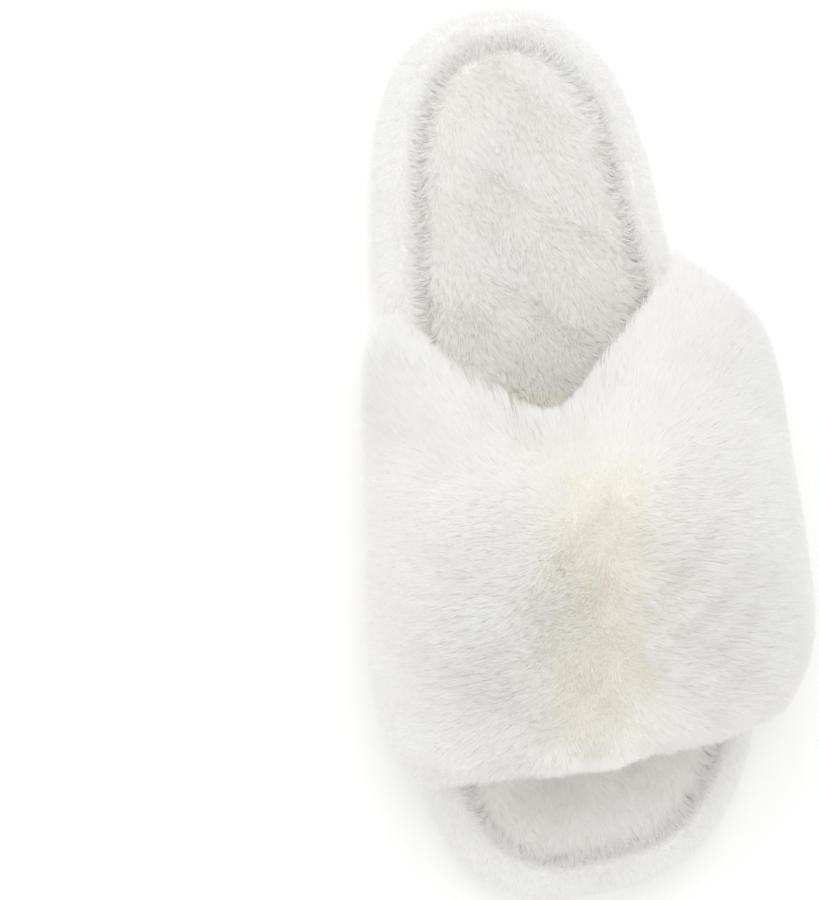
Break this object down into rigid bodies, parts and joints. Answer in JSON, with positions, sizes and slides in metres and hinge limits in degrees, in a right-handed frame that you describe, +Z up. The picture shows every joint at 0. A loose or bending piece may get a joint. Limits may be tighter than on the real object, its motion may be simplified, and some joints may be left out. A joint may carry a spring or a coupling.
{
  "type": "fluffy house slipper",
  "caption": "Open-toe, open-heel house slipper: a long-pile fur band with a V-shaped throat over a plush-wrapped flat platform.",
  "frame": {"origin": "on the floor, under the middle of the slipper's box", "axes": "+Z up, -Y toward the toe, +X toward the outer side of the left foot"},
  "size_m": [0.1326, 0.2602, 0.0916],
  "materials": {
    "sole_rubber": "moulded, matte",
    "midsole_foam": "closed-cell foam, matte",
    "foam": "open-cell foam, matte",
    "fibreboard": "pressed fibre, matte",
    "short_plush": "short dense plush",
    "sock_plush": "short dense plush, crushed in small tufts",
    "lining_plush": "short plush",
    "long_fur": "long soft pile",
    "tape": "plain woven tape",
    "thread": "spun thread"
  },
  "bodies": {
    "root": {"outsole": "sole_rubber", "bottom_filler": "foam", "midsole": "midsole_foam", "insole_board": "fibreboard", "toe_rim_foam": "foam", "heel_rim_foam": "foam", "side_wrap": "short_plush", "insole_foam": "foam", "insole_sock": "sock_plush", "upper_lining": "lining_plush", "upper_padding": "foam", "front_stay_tape": "tape", "throat_stay_tape": "tape", "fur_cover": "long_fur", "sock_seam_stitches": "thread", "front_edge_stitches": "thread", "throat_edge_stitches": "thread"}
  },
  "joints": []
}
